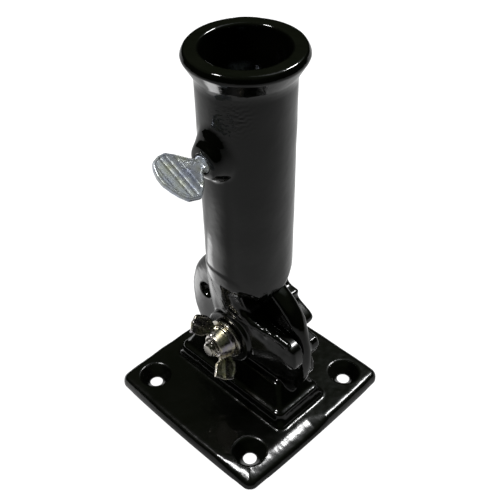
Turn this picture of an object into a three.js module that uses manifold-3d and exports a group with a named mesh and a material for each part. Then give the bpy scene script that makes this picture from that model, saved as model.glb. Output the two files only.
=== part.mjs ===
// Adjustable rod holder: a cast tube on a fork that tilts about a disc standing on a square
// flange, clamped by a bolt and wing nut, with a thumb screw that locks the rod in the tube.
// Millimetres, +Z up. Origin: centre of the flange's underside. X runs along the pivot bolt:
// the nut side is -X (front), the bolt head side is +X (rear).

import * as THREE from 'three';
import { mergeVertices } from 'three/addons/utils/BufferGeometryUtils.js';
import Module from 'manifold-3d';

const wasm = await Module();
wasm.setup();

const radians = THREE.MathUtils.degToRad;

// ---- base dimensions ----
const FLANGE = { side: 76.2, top: 5.0, cornerR: 5.0, edgeR: 1.5, bow: 0.9 };
const HOLE_PITCH = 55.2; // screw hole spacing, both ways
const HOLE_R = 2.6;
const SINK_R = 6.3; // countersink radius at the flange's top
const SINK_Z = 0.9; // height where the countersink starts
const SINK_OVER = { r: 0.54, z: 0.6 }; // how far the cutter carries on past the top
const PAD = { x0: -11.4, x1: 12.25, y0: -27.8, y1: 29.6, top: 10.0, cornerR: 3.5, edgeR: 1.2 };
const PAD_OVERLAP = 1; // depth of the pad inside the flange
// tapering block under the disc
const FOOT = {
  bottom: { x0: -10.3, x1: 10.9, y0: -26.6, y1: 28.2, z: 9.0 },
  top: { x0: -5.2, x1: 7.0, y0: -21.0, y1: 25.6, z: 17.4 },
};
const PIVOT_Z = 33.85; // bolt axis above the underside
const DISC = { x0: -3.0, x1: 4.7, r: 31.5, flatR: 21.0 }; // upright, lens shaped to its rim
const DISC_MID_X = (DISC.x0 + DISC.x1) / 2;
const RIM_POWER = 0.9; // fullness of the disc's rounded rim
// scalloped disc on the rear of the main disc
const INDEX = { x0: DISC_MID_X + 1.0, x1: 8.0, r: 30.2, topR: 25.4 };
const SCALLOP = { depth: 4.2, power: 1.6, pitch: 30, shift: 8 }; // pitch and shift in degrees
const PLAIN_ABOVE = 0.26; // sine of the angle above which the index disc has no scallops

// ---- tube and fork dimensions, heights above the bolt axis ----
const TILT = radians(3.68); // fork angle at rest, towards -Y
const LEAN = radians(-3.1); // lean of the cast tube towards the nut side
const TUBE_X = 1.4; // where the tube axis crosses the bolt axis
const BORE_R = 3.36; // clearance bore for the bolt in the castings
const BORE_REACH = 30; // half length of the bore cutters
const SLOT_R = 32.2; // fork slot over the disc
const FRONT_CHEEK = { x0: -11.0, x1: -3.4 };
const REAR_CHEEK = { x0: 8.4, x1: 13.6 };
const FRONT_BOSS_R = 11.0;
const REAR_BOSS = { x: 16.6, r: 9.6, chamfer: 0.7 };
const CHEEK_INSET = 1.4; // front cheek plate behind its boss face
const BEAD = { inset: 0.3, overlap: 2 }; // bead behind the boss face, and short of the slot
const TUBE_R = 15.5;
const TUBE_BORE_R = 13.4; // takes a 1 in rod butt
const LIP_R = 18.85;
const MOUTH_Z = 117.3;
const TUBE_FLOOR_Z = 37.0; // bottom of the tube's bore
const TUBE_END_Z = 25.0; // rounded lower end
const LOCK_Z = 85.9; // thumb screw, along the leaning tube
const LOCK_BOSS = { x: -19.2, r: 6.4 };

// ---- hardware dimensions ----
const BOLT = { r: 3.175, tipX: -21.3 }; // 1/4 in
const HEAD = { x0: 16.9, x1: 21.2, flats: 11.1 };
const WASHER = { x0: -12.7, x1: -11.3, r: 8.0, holeR: 3.45, chamfer: 0.3 };
const NUT = { x0: -13.0, x1: -18.6, baseR: 6.3, endR: 4.5 };
const THREAD_GAP = 0.12;
const WING = { thickness: 1.9, edge: 0.5, edgeSteps: 2, roll: radians(38) };
const SCREW = { r: 3.0, tipX: -10.2, gap: 0.2 };
const PADDLE = { x: -19.1, thickness: 2.0, edge: 0.4, edgeSteps: 1, roll: radians(29) };

// ---- outlines ----
// front cheek as [y, z], sweeping out to a shoulder on the -Y side
const FRONT_CHEEK_OUTLINE = [
  [-11.8, -4.4], [-22.4, 1.4], [-30.4, 3.6], [-31.4, 8.2], [-28.8, 13.4], [-20.3, 14.2],
  [-13.4, 15.6], [-9.8, 19.5], [-9.0, 27], [-8, 34], [0, 36], [11, 34], [16.0, 28],
  [17.6, 21.2], [16.6, 13.2], [14.6, 6.4], [12.2, -0.5], [10.2, -4.4], [4.0, -10.3],
  [-5.4, -9.6],
];
// rear cheek as [y, z]
const REAR_CHEEK_OUTLINE = [
  [-8, -7.6], [-17.4, 2.6], [-20.4, 8.6], [-14.2, 11.4], [-9.6, 15.4], [-8.4, 22],
  [-8.0, 30], [-6, 34], [6, 34], [8.0, 30], [8.4, 22], [9.6, 15.4], [14.2, 11.4],
  [20.4, 8.6], [17.4, 2.6], [8, -7.6], [0, -11],
];
// raised bead along the front cheek's upper edge as [y, z]
const BEAD_OUTLINE = [
  [-0.4, 25.0], [-3.6, 24.2], [-6.2, 19.4], [-9.4, 17.0], [-14.4, 16.2], [-20.6, 17.2],
  [-26.4, 16.4], [-28.6, 13.4], [-26.4, 11.6], [-20.3, 11.6], [-14.3, 11.4], [-8.6, 12.4],
  [-3.6, 15.0], [0.6, 19.0],
];
// root between tube and cheeks as [radius, z]
const ROOT_PROFILE = [[0, 20], [10.5, 20], [13, 23], [14.4, 28], [14.8, 36], [0, 36]];
// one wing of the nut as [distance from the bolt axis, x]
const WING_OUTLINE = [
  [3.8, -14.3], [9.8, -13.8], [11.9, -15.2], [14.1, -18.2], [14.0, -19.2], [12.6, -21.6],
  [8.8, -24.9], [7.2, -25.0], [6.6, -24.0], [6.2, -21.6], [5.6, -18.6], [3.8, -17.4],
];
// spade head of the thumb screw as [across, x]
const PADDLE_OUTLINE = [
  [-2.4, -18.6], [-2.5, -20.6], [-4.3, -22.4], [-6.8, -24.6], [-8.7, -26.8],
  [-8.85, -29.4], [-7.9, -32.0], [-5.8, -33.35], [-3.3, -34.06], [-0.3, -34.15],
  [2.85, -33.3], [5.3, -32.4], [7.9, -30.8], [8.5, -28.8], [9.1, -26.9], [6.1, -23.4],
  [4.0, -22.0], [2.4, -20.8], [2.2, -18.6],
];

// ---- frames ----
const move = (x, y, z) => new THREE.Matrix4().makeTranslation(x, y, z);
const chain = (...frames) => frames.reduce((a, b) => a.multiply(b), new THREE.Matrix4());
const LATHE_TO_Z = new THREE.Matrix4().makeRotationX(Math.PI / 2);
const LATHE_TO_X = new THREE.Matrix4().makeRotationZ(-Math.PI / 2);
// an extrusion's X, Y, Z onto Y, Z, X
const EXTRUSION_TO_X = new THREE.Matrix4().set(0, 0, 1, 0, 1, 0, 0, 0, 0, 1, 0, 0, 0, 0, 0, 1);
const LEANED = chain(move(TUBE_X, 0, 0), new THREE.Matrix4().makeRotationY(LEAN));
const TUBE_AXIS = chain(LEANED, LATHE_TO_Z);
const LOCK_AXIS = chain(LEANED, move(0, 0, LOCK_Z), LATHE_TO_X);

// ---- solids ----
const join = (first, ...rest) => rest.reduce((a, b) => a.add(b), first);
const cut = (first, ...rest) => rest.reduce((a, b) => a.subtract(b), first);
const vectors = (pairs) => pairs.map(([x, y]) => new THREE.Vector2(x, y));

// welds a geometry, drops collapsed triangles and turns its faces outwards
function solid(geometry, frame = new THREE.Matrix4()) {
  const bare = new THREE.BufferGeometry();
  bare.setAttribute('position', geometry.attributes.position.clone());
  bare.setIndex(geometry.index);
  bare.applyMatrix4(frame);
  const welded = mergeVertices(bare, 1e-4);
  const { position } = welded.attributes;
  const index = welded.index.array;
  const corner = (i) => new THREE.Vector3().fromBufferAttribute(position, i);
  const triangles = [];
  let volume = 0; // six times the signed volume
  for (let i = 0; i < index.length; i += 3) {
    const [a, b, c] = index.slice(i, i + 3);
    if (a === b || b === c || a === c) continue;
    triangles.push(a, b, c);
    volume += corner(a).dot(corner(b).cross(corner(c)));
  }
  if (volume < 0) {
    for (let i = 0; i < triangles.length; i += 3) {
      [triangles[i + 1], triangles[i + 2]] = [triangles[i + 2], triangles[i + 1]];
    }
  }
  return new wasm.Manifold(new wasm.Mesh({
    numProp: 3,
    vertProperties: new Float32Array(position.array),
    triVerts: new Uint32Array(triangles),
  }));
}

function box(x0, x1, y0, y1, z0, z1) {
  const centre = move((x0 + x1) / 2, (y0 + y1) / 2, (z0 + z1) / 2);
  return solid(new THREE.BoxGeometry(x1 - x0, y1 - y0, z1 - z0), centre);
}

// profile of [radius, height] turned about the frame's lathe axis
const turned = (profile, segments, frame) =>
  solid(new THREE.LatheGeometry(vectors(profile), segments), frame);
// profile of [radius, x] turned about a line along X at height z
const turnedX = (profile, segments, z = 0) =>
  turned(profile, segments, chain(move(0, 0, z), LATHE_TO_X));
const rodProfile = (r, start, end) => [[0, start], [r, start], [r, end], [0, end]];
const boltBore = (z = 0) => turnedX(rodProfile(BORE_R, -BORE_REACH, BORE_REACH), 32, z);

// rectangle with rounded corners and sides bowed outwards
function roundedShape(x0, x1, y0, y1, r, bow) {
  const midX = (x0 + x1) / 2;
  const midY = (y0 + y1) / 2;
  const shape = new THREE.Shape();
  shape.moveTo(x0 + r, y0);
  shape.quadraticCurveTo(midX, y0 - 2 * bow, x1 - r, y0);
  shape.quadraticCurveTo(x1, y0, x1, y0 + r);
  shape.quadraticCurveTo(x1 + 2 * bow, midY, x1, y1 - r);
  shape.quadraticCurveTo(x1, y1, x1 - r, y1);
  shape.quadraticCurveTo(midX, y1 + 2 * bow, x0 + r, y1);
  shape.quadraticCurveTo(x0, y1, x0, y1 - r);
  shape.quadraticCurveTo(x0 - 2 * bow, midY, x0, y0 + r);
  shape.quadraticCurveTo(x0, y0, x0 + r, y0);
  return shape;
}

// block with a rounded plan and a rounded upper edge, from z0 up to z1
function block({ x0, x1, y0, y1, z0, z1, cornerR, edgeR, bow = 0, curveSegments, edgeSteps }) {
  const sunk = 4; // extra length below z0, trimmed off with the lower bevel
  const margin = 9;
  const innerR = Math.max(cornerR - edgeR, 0.6);
  const shape = roundedShape(x0 + edgeR, x1 - edgeR, y0 + edgeR, y1 - edgeR, innerR, bow);
  const geometry = new THREE.ExtrudeGeometry(shape, {
    depth: z1 - z0 - edgeR + sunk,
    bevelEnabled: true,
    bevelSize: edgeR,
    bevelThickness: edgeR,
    bevelSegments: edgeSteps,
    curveSegments,
  });
  return cut(
    solid(geometry, move(0, 0, z0 - sunk)),
    box(x0 - margin, x1 + margin, y0 - margin, y1 + margin, z0 - margin, z0),
  );
}

// block running from one rectangle to another above it
function taper({ bottom, top }) {
  const geometry = new THREE.BoxGeometry(1, 1, 1);
  const { position } = geometry.attributes;
  for (let i = 0; i < position.count; i++) {
    const end = position.getZ(i) > 0 ? top : bottom;
    const x = position.getX(i) > 0 ? end.x1 : end.x0;
    const y = position.getY(i) > 0 ? end.y1 : end.y0;
    position.setXYZ(i, x, y, end.z);
  }
  return solid(geometry);
}

// closed smooth curve through the points
function smoothed(points) {
  const knots = points.map(([x, y]) => new THREE.Vector3(x, y, 0));
  const curve = new THREE.CatmullRomCurve3(knots, true, 'centripetal');
  return curve.getPoints(points.length * 3).slice(0, -1).map(({ x, y }) => [x, y]);
}

// plate with a [y, z] outline, from x0 to x1
function slab(points, x0, x1) {
  const shape = new THREE.Shape(vectors(points));
  const geometry = new THREE.ExtrudeGeometry(shape, { depth: x1 - x0, bevelEnabled: false });
  return solid(geometry, chain(move(x0, 0, 0), EXTRUSION_TO_X));
}

// bevelled plate with an [across, x] outline, centred on the plane of `across` and X
function blade(outline, { thickness, edge, edgeSteps }, across) {
  const depth = thickness - 2 * edge;
  const geometry = new THREE.ExtrudeGeometry(new THREE.Shape(vectors(outline)), {
    depth,
    bevelEnabled: true,
    bevelSize: edge,
    bevelOffset: -edge,
    bevelThickness: edge,
    bevelSegments: edgeSteps,
  });
  const alongX = new THREE.Vector3(1, 0, 0);
  const normal = new THREE.Vector3().crossVectors(across, alongX);
  const frame = new THREE.Matrix4().makeBasis(across, alongX, normal);
  return solid(geometry, chain(frame, move(0, 0, -depth / 2)));
}

// ---- base casting ----
function flange() {
  const half = FLANGE.side / 2;
  return block({
    ...FLANGE, x0: -half, x1: half, y0: -half, y1: half, z0: 0, z1: FLANGE.top,
    curveSegments: 5, edgeSteps: 3,
  });
}

function pad() {
  return block({
    ...PAD, z0: FLANGE.top - PAD_OVERLAP, z1: PAD.top, curveSegments: 3, edgeSteps: 2,
  });
}

function mainDisc() {
  const halfThickness = (DISC.x1 - DISC.x0) / 2;
  const profile = [[0, DISC.x0], [DISC.flatR, DISC.x0]];
  for (let k = 1; k < 10; k++) {
    const angle = (k / 10) * Math.PI;
    const along = Math.sign(Math.cos(angle)) * Math.abs(Math.cos(angle)) ** RIM_POWER;
    const out = Math.sin(angle) ** RIM_POWER;
    profile.push([
      DISC.flatR + (DISC.r - DISC.flatR) * out,
      DISC_MID_X - halfThickness * along,
    ]);
  }
  profile.push([DISC.flatR, DISC.x1], [0, DISC.x1]);
  return turnedX(profile, 72, PIVOT_Z);
}

function indexDisc() {
  const halfPitch = SCALLOP.pitch / 2;
  const rim = [];
  for (let k = 0; k < 96; k++) {
    const angle = (k / 96) * 2 * Math.PI;
    const degrees = (angle * 180) / Math.PI + SCALLOP.shift;
    const phase = ((degrees % SCALLOP.pitch) - halfPitch) / halfPitch; // 0 tooth, +-1 notch
    const scalloped = INDEX.r - SCALLOP.depth * Math.abs(phase) ** SCALLOP.power;
    const r = Math.sin(angle) > PLAIN_ABOVE ? INDEX.topR : scalloped;
    rim.push([-r * Math.cos(angle), PIVOT_Z + r * Math.sin(angle)]);
  }
  return slab(rim, INDEX.x0, INDEX.x1);
}

function screwHoles() {
  const profile = [
    [0, -1], [HOLE_R, -1], [HOLE_R, SINK_Z], [SINK_R, FLANGE.top],
    [SINK_R + SINK_OVER.r, FLANGE.top + SINK_OVER.z], [0, FLANGE.top + SINK_OVER.z],
  ];
  const places = [-HOLE_PITCH / 2, HOLE_PITCH / 2];
  return places.flatMap((x) =>
    places.map((y) => turned(profile, 28, chain(move(x, y, 0), LATHE_TO_Z))));
}

function baseCasting() {
  const body = join(flange(), pad(), taper(FOOT), mainDisc(), indexDisc());
  return cut(body, boltBore(PIVOT_Z), ...screwHoles());
}

// ---- tube casting, modelled upright about the bolt axis ----
function tubeBody() {
  return turned([
    [0, TUBE_END_Z], [8.5, TUBE_END_Z + 0.2], [12, TUBE_END_Z + 1.2],
    [14.2, TUBE_END_Z + 3.0], [TUBE_R, TUBE_END_Z + 6.4], [TUBE_R, MOUTH_Z - 9.8],
    [TUBE_R + 0.3, MOUTH_Z - 8.2], [TUBE_R + 0.8, MOUTH_Z - 7.0],
    [LIP_R - 0.25, MOUTH_Z - 2.9], [LIP_R, MOUTH_Z - 1.8], [LIP_R, MOUTH_Z - 1.0],
    [LIP_R - 0.45, MOUTH_Z - 0.3], [LIP_R - 1.15, MOUTH_Z], [0, MOUTH_Z],
  ], 48, TUBE_AXIS);
}

function tubeBore() {
  return turned([
    [0, TUBE_FLOOR_Z], [10.4, TUBE_FLOOR_Z], [12.6, TUBE_FLOOR_Z + 0.9],
    [TUBE_BORE_R, TUBE_FLOOR_Z + 3], [TUBE_BORE_R, MOUTH_Z - 1.2],
    [TUBE_BORE_R + 1.9, MOUTH_Z + 0.7], [0, MOUTH_Z + 0.7],
  ], 48, TUBE_AXIS);
}

function frontFork() {
  const { x0, x1 } = FRONT_CHEEK;
  const r = FRONT_BOSS_R;
  return join(
    slab(smoothed(FRONT_CHEEK_OUTLINE), x0 + CHEEK_INSET, x1),
    slab(smoothed(BEAD_OUTLINE), x0 + BEAD.inset, x1 - BEAD.overlap),
    turnedX([[0, x0], [r - 1.0, x0], [r, x0 + 0.9], [r, x1], [0, x1]], 40),
  );
}

function rearFork() {
  const { x0, x1 } = REAR_CHEEK;
  const { x, r, chamfer } = REAR_BOSS;
  return join(
    slab(smoothed(REAR_CHEEK_OUTLINE), x0, x1),
    turnedX([[0, x0], [r, x0], [r, x - chamfer], [r - chamfer, x], [0, x]], 40),
  );
}

function lockBoss() {
  const { x, r } = LOCK_BOSS;
  return turned([
    [0, x], [r - 2.2, x], [r - 0.9, x + 0.5], [r - 0.1, x + 1.8], [r + 0.5, -15.2],
    [r + 1.6, -13.9], [0, -13.9],
  ], 28, LOCK_AXIS);
}

function tubeCasting() {
  const root = turned(ROOT_PROFILE, 40, TUBE_AXIS);
  return cut(
    join(tubeBody(), root, frontFork(), rearFork(), lockBoss()),
    tubeBore(),
    turnedX(rodProfile(SLOT_R, FRONT_CHEEK.x1, REAR_CHEEK.x0), 72),
    boltBore(),
    turned(rodProfile(SCREW.r + SCREW.gap, -40, -4), 24, LOCK_AXIS),
  );
}

// ---- hardware ----
function pivotBolt() {
  const { x0, x1 } = HEAD;
  const cornerR = HEAD.flats / Math.sqrt(3);
  const hexagon = [0, 1, 2, 3, 4, 5].map((k) => {
    const angle = (k * Math.PI) / 3 + Math.PI / 6;
    return [cornerR * Math.cos(angle), cornerR * Math.sin(angle)];
  });
  // trims the corners of the head's outer face
  const crown = turnedX([[0, x0 - 1], [8, x0 - 1], [8, x1 - 1.0], [5.4, x1], [0, x1]], 36);
  const shank = turnedX([
    [0, BOLT.tipX], [BOLT.r - 0.7, BOLT.tipX], [BOLT.r, BOLT.tipX + 0.8],
    [BOLT.r, x0 + 1], [0, x0 + 1],
  ], 32);
  return join(slab(hexagon, x0, x1).intersect(crown), shank);
}

function flatWasher() {
  const { x0, x1, r, holeR, chamfer } = WASHER;
  return turnedX([
    [holeR, x0], [r - chamfer, x0], [r, x0 + chamfer], [r, x1], [holeR, x1], [holeR, x0],
  ], 36);
}

function wingNut() {
  const { x0, x1, baseR, endR } = NUT;
  const hub = turnedX([
    [0, x1], [endR - 0.4, x1], [endR, x1 + 0.5], [baseR - 0.4, x0 - 1.6],
    [baseR, x0 - 0.9], [baseR, x0], [0, x0],
  ], 36);
  const wings = [0, Math.PI].map((turn) => {
    const angle = WING.roll + turn;
    const across = new THREE.Vector3(0, -Math.sin(angle), -Math.cos(angle));
    return blade(WING_OUTLINE, WING, across);
  });
  return cut(join(hub, ...wings), turnedX(rodProfile(BOLT.r + THREAD_GAP, -30, -5), 32));
}

function thumbScrew() {
  const { r, tipX } = SCREW;
  const shank = turnedX([
    [0, PADDLE.x - 3.0], [1.3, PADDLE.x - 3.0], [1.6, PADDLE.x - 0.4],
    [r, PADDLE.x + 1.0], [r, tipX - 0.8], [r - 0.7, tipX], [0, tipX],
  ], 28);
  const angle = PADDLE.roll - TILT;
  const across = new THREE.Vector3(0, -Math.cos(angle), -Math.sin(angle));
  return join(shank, blade(PADDLE_OUTLINE, PADDLE, across));
}

// ---- materials ----
const BLACK_ENAMEL = { color: 0x0b0b0c, roughness: 0.18, metalness: 0.0 };
const SCREW_ZINC = { color: 0xb9bcc0, roughness: 0.3, metalness: 1.0 };
const BOLT_METAL = { color: 0xa9a8a2, roughness: 0.28, metalness: 1.0 };
const WASHER_METAL = { color: 0x9c9a92, roughness: 0.32, metalness: 1.0 };
const NUT_METAL = { color: 0xc2b79a, roughness: 0.26, metalness: 1.0 };

function piece(name, manifold, finish) {
  const { vertProperties, triVerts } = manifold.getMesh();
  const geometry = new THREE.BufferGeometry();
  geometry.setAttribute('position', new THREE.BufferAttribute(vertProperties, 3));
  geometry.setIndex(new THREE.BufferAttribute(triVerts, 1));
  geometry.computeVertexNormals();
  const mesh = new THREE.Mesh(geometry, new THREE.MeshStandardMaterial(finish));
  mesh.name = name;
  return mesh;
}

// ---- assembly ----
const lock = new THREE.Group();
lock.rotation.y = LEAN;
lock.position.set(TUBE_X + LOCK_Z * Math.sin(LEAN), 0, LOCK_Z * Math.cos(LEAN));
lock.add(piece('thumb_screw', thumbScrew(), SCREW_ZINC));

const holder = new THREE.Group();
holder.position.z = PIVOT_Z;
holder.rotation.x = TILT;
holder.add(
  piece('pole_tube', tubeCasting(), BLACK_ENAMEL),
  piece('pivot_bolt', pivotBolt(), BOLT_METAL),
  lock,
);

const clamp = new THREE.Group();
clamp.position.z = PIVOT_Z;
clamp.add(
  piece('flat_washer', flatWasher(), WASHER_METAL),
  piece('wing_nut', wingNut(), NUT_METAL),
);

const rodHolder = new THREE.Group();
rodHolder.add(piece('base_plate', baseCasting(), BLACK_ENAMEL), holder, clamp);

export default rodHolder;
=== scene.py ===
import math

import bpy
import numpy as np
from mathutils import Matrix, Vector


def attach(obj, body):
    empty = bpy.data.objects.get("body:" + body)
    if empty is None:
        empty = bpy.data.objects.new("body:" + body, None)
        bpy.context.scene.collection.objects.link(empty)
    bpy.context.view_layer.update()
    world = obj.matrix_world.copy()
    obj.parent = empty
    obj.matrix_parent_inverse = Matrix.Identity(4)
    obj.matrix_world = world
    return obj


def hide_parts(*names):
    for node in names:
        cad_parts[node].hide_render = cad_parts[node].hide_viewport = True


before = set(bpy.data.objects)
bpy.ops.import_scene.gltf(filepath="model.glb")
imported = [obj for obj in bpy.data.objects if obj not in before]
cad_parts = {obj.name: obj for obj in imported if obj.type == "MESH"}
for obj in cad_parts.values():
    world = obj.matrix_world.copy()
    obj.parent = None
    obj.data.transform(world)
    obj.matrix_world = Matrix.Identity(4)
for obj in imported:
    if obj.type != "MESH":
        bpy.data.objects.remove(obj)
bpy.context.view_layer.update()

MM = 0.001

# ---------------------------------------------------------------- driving sizes, mm
PIVOT = np.array([0.0, 0.0, 33.85])
TILT = math.radians(3.68)
LEAN = math.radians(-3.1)
TUBE_X = 1.4
MOUTH = 117.3
LOCK_L = 85.9

# ---------------------------------------------------------------- field helpers


def smin(a, b, k):
    h = np.maximum(k - np.abs(a - b), 0.0) / k
    return np.minimum(a, b) - h * h * k * 0.25


def smax(a, b, k):
    return -smin(-a, -b, k)


def rbox2(px, py, hx, hy, r):
    qx = np.abs(px) - hx + r
    qy = np.abs(py) - hy + r
    return np.hypot(np.maximum(qx, 0), np.maximum(qy, 0)) + np.minimum(np.maximum(qx, qy), 0) - r


def catmull(points, per=10):
    p = np.array(points, float)
    n = len(p)
    out = []
    for i in range(n):
        p0, p1, p2, p3 = p[i - 1], p[i], p[(i + 1) % n], p[(i + 2) % n]
        for s in np.linspace(0, 1, per, endpoint=False):
            a = 2 * p1
            b = p2 - p0
            c = 2 * p0 - 5 * p1 + 4 * p2 - p3
            d = -p0 + 3 * p1 - 3 * p2 + p3
            out.append(0.5 * (a + b * s + c * s * s + d * s ** 3))
    return np.array(out)


def blur1(a, sigma, axis):
    r = max(1, int(math.ceil(3 * sigma)))
    x = np.arange(-r, r + 1)
    w = np.exp(-0.5 * (x / sigma) ** 2)
    w /= w.sum()
    pad = [(0, 0), (0, 0)]
    pad[axis] = (r, r)
    b = np.pad(a, pad, mode="edge")
    out = np.zeros_like(a)
    for i, wi in enumerate(w):
        sl = [slice(None), slice(None)]
        sl[axis] = slice(i, i + a.shape[axis])
        out += wi * b[tuple(sl)]
    return out


class Field2D:
    """Signed distance to a closed outline, softened, sampled with a smooth cubic kernel."""

    def __init__(self, outline, sigma=0.35, h=0.4, pad=9.0):
        p = np.array(outline, float)
        self.lo = p.min(0) - pad
        n = np.ceil((p.max(0) + pad - self.lo) / h).astype(int) + 1
        gx = self.lo[0] + h * np.arange(n[0])
        gy = self.lo[1] + h * np.arange(n[1])
        X, Y = np.meshgrid(gx, gy, indexing="ij")
        d = np.full(X.shape, 1e9)
        inside = np.zeros(X.shape, bool)
        q = np.roll(p, -1, 0)
        for (ax, ay), (bx, by) in zip(p, q):
            ex, ey = bx - ax, by - ay
            L = ex * ex + ey * ey
            if L < 1e-12:
                continue
            t = np.clip(((X - ax) * ex + (Y - ay) * ey) / L, 0, 1)
            d = np.minimum(d, (X - ax - t * ex) ** 2 + (Y - ay - t * ey) ** 2)
            if ay != by:
                inside ^= ((ay > Y) != (by > Y)) & (X < (bx - ax) * (Y - ay) / (by - ay) + ax)
        d = np.sqrt(d)
        d[inside] *= -1
        if sigma > 0:
            d = blur1(blur1(d, sigma / h, 0), sigma / h, 1)
        self.h = h
        self.t = d

    def __call__(self, x, y):
        n0, n1 = self.t.shape
        u = np.clip((x - self.lo[0]) / self.h, 1.0, n0 - 2.001)
        v = np.clip((y - self.lo[1]) / self.h, 1.0, n1 - 2.001)
        i = u.astype(np.int64)
        j = v.astype(np.int64)
        i = np.minimum(i, n0 - 3)
        j = np.minimum(j, n1 - 3)
        fu, fv = u - i, v - j

        def w(f):
            g = 1 - f
            return (g ** 3 / 6, (3 * f ** 3 - 6 * f * f + 4) / 6, (3 * g ** 3 - 6 * g * g + 4) / 6, f ** 3 / 6)

        wu, wv = w(fu), w(fv)
        out = 0.0
        flat = self.t.ravel()
        for a in range(4):
            row = (i + a - 1) * n1
            for b in range(4):
                out = out + wu[a] * wv[b] * flat[row + j + b - 1]
        # outside the table the field grows with distance
        ox = np.maximum(np.maximum(self.lo[0] - x, x - (self.lo[0] + self.h * (n0 - 1))), 0)
        oy = np.maximum(np.maximum(self.lo[1] - y, y - (self.lo[1] + self.h * (n1 - 1))), 0)
        return out + np.hypot(ox, oy)


def waves(seed, count, lo, hi):
    rng = np.random.RandomState(seed)
    k = rng.normal(size=(count, 3))
    k /= np.linalg.norm(k, axis=1)[:, None]
    lam = np.exp(rng.uniform(math.log(lo), math.log(hi), count))
    k *= (2 * math.pi / lam)[:, None]
    ph = rng.uniform(0, 2 * math.pi, count)
    amp = lam / lam.max()
    amp /= math.sqrt((amp ** 2).sum() / 2)

    def f(P):
        out = 0.0
        for ki, pi, ai in zip(k, ph, amp):
            out = out + ai * np.sin(P[:, 0] * ki[0] + P[:, 1] * ki[1] + P[:, 2] * ki[2] + pi)
        return out

    return f


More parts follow.
